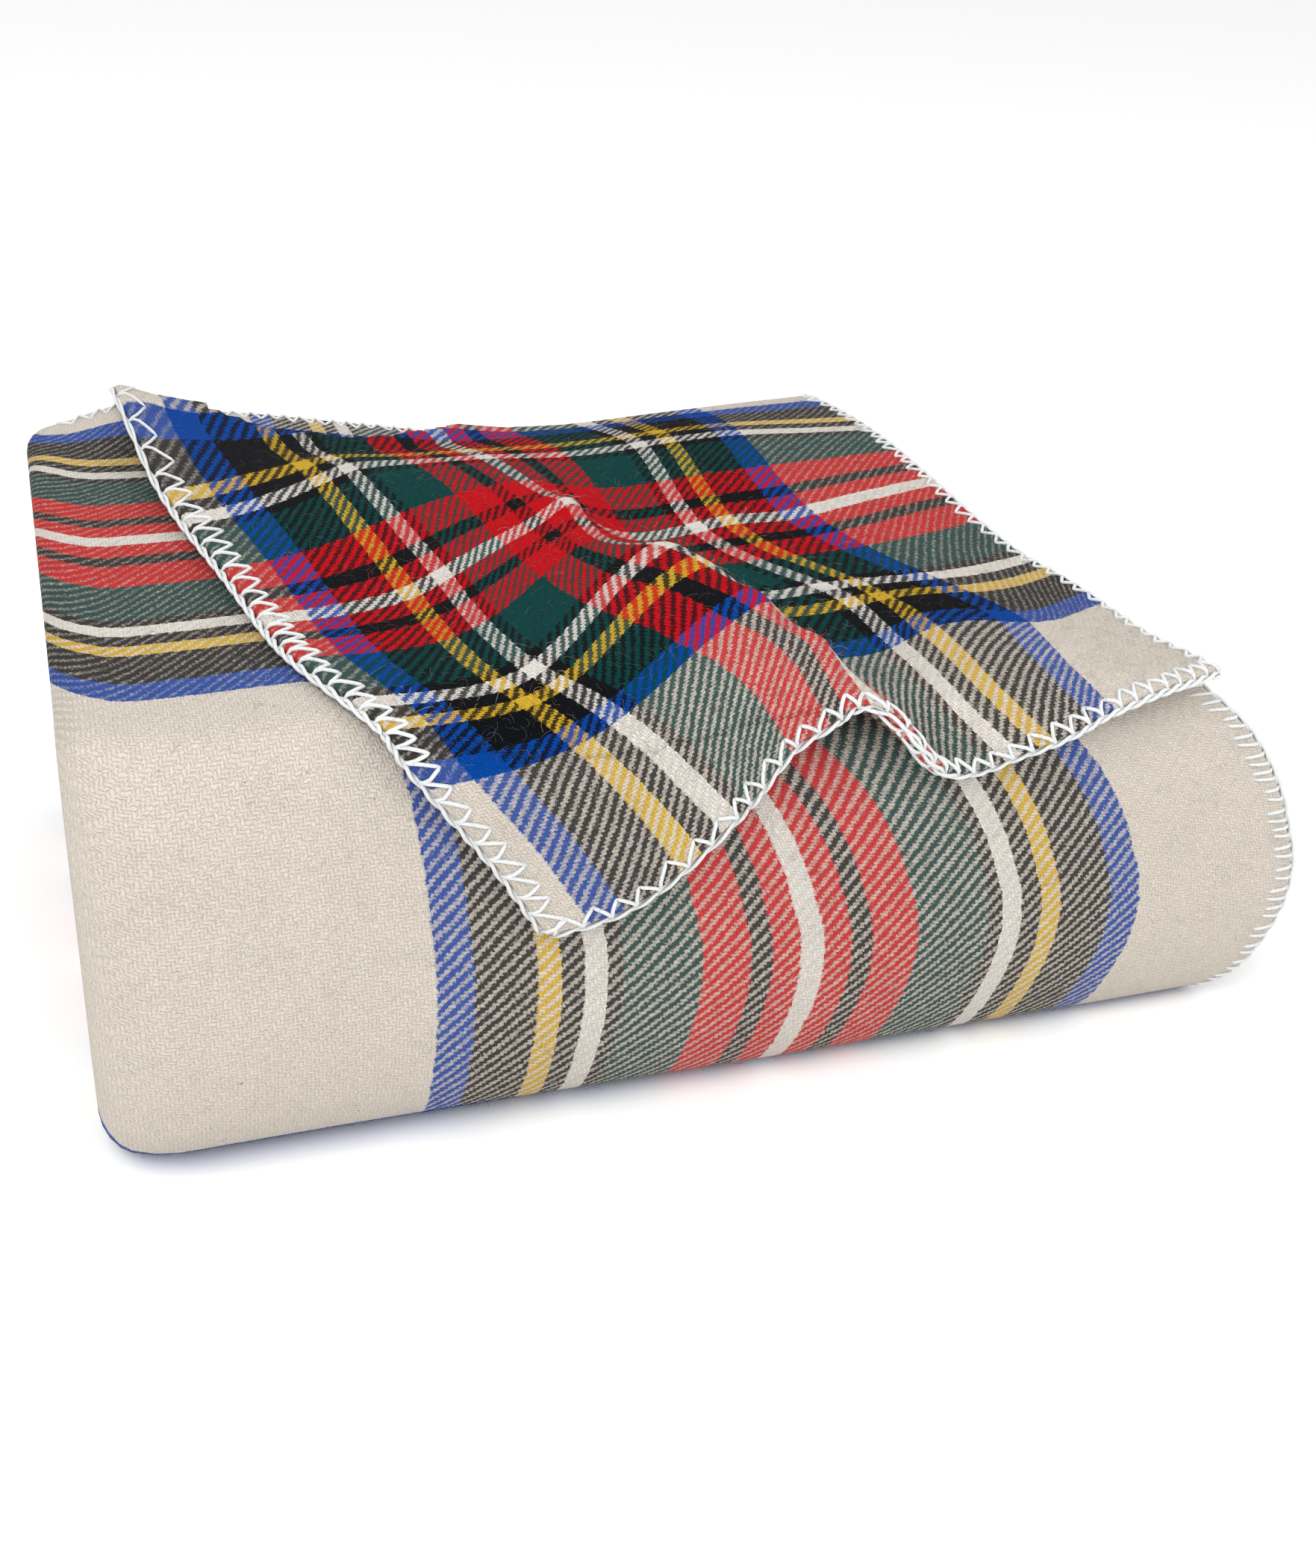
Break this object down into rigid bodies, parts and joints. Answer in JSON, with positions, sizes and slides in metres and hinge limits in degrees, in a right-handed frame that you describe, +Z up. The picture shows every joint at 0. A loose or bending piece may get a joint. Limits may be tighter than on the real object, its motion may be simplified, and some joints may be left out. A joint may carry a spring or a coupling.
{
  "type": "folded camp blanket",
  "caption": "Folded tartan wool camp blanket with blanket-stitched edges; a loose top sheet hinges at the back and its corner hangs over the front fold.",
  "frame": {"origin": "centre of the stack's footprint, on the surface it rests on", "axes": "+X along the front fold from the left fold to the stitched right edge, +Y from the front fold to the back, +Z up"},
  "size_m": [0.4198, 0.323, 0.1918],
  "materials": {
    "cloth_cream": "brushed wool twill, cream ground",
    "cloth_tartan": "brushed wool twill, tartan of red, green, blue, black, yellow and white on cream",
    "edging_yarn": "white wool yarn in blanket stitch"
  },
  "bodies": {
    "stack": {"outer_fold": "cloth_cream", "second_fold": "cloth_tartan", "third_fold": "cloth_tartan", "inner_fold": "cloth_tartan", "outer_fold_edging": "edging_yarn", "second_fold_edging": "edging_yarn", "third_fold_edging": "edging_yarn", "inner_fold_edging": "edging_yarn", "back_edging": "edging_yarn"},
    "top_sheet": {"top_sheet": "cloth_tartan", "sheet_left_edging": "edging_yarn", "sheet_right_edging": "edging_yarn", "sheet_end_edging": "edging_yarn"},
    "corner": {"corner_flap": "cloth_tartan", "flap_left_edging": "edging_yarn", "flap_end_edging": "edging_yarn"}
  },
  "joints": [
    {"name": "sheet_open", "type": "hinge", "parent": "stack", "child": "top_sheet", "pos_m": [0, 0.1585, 0.153], "axis": [-1, 0, 0], "range_deg": [0, 110]},
    {"name": "corner_lift", "type": "hinge", "parent": "top_sheet", "child": "corner", "pos_m": [-0.05, -0.1577, 0.15], "axis": [-1, 0, 0], "range_deg": [0, 120]}
  ]
}
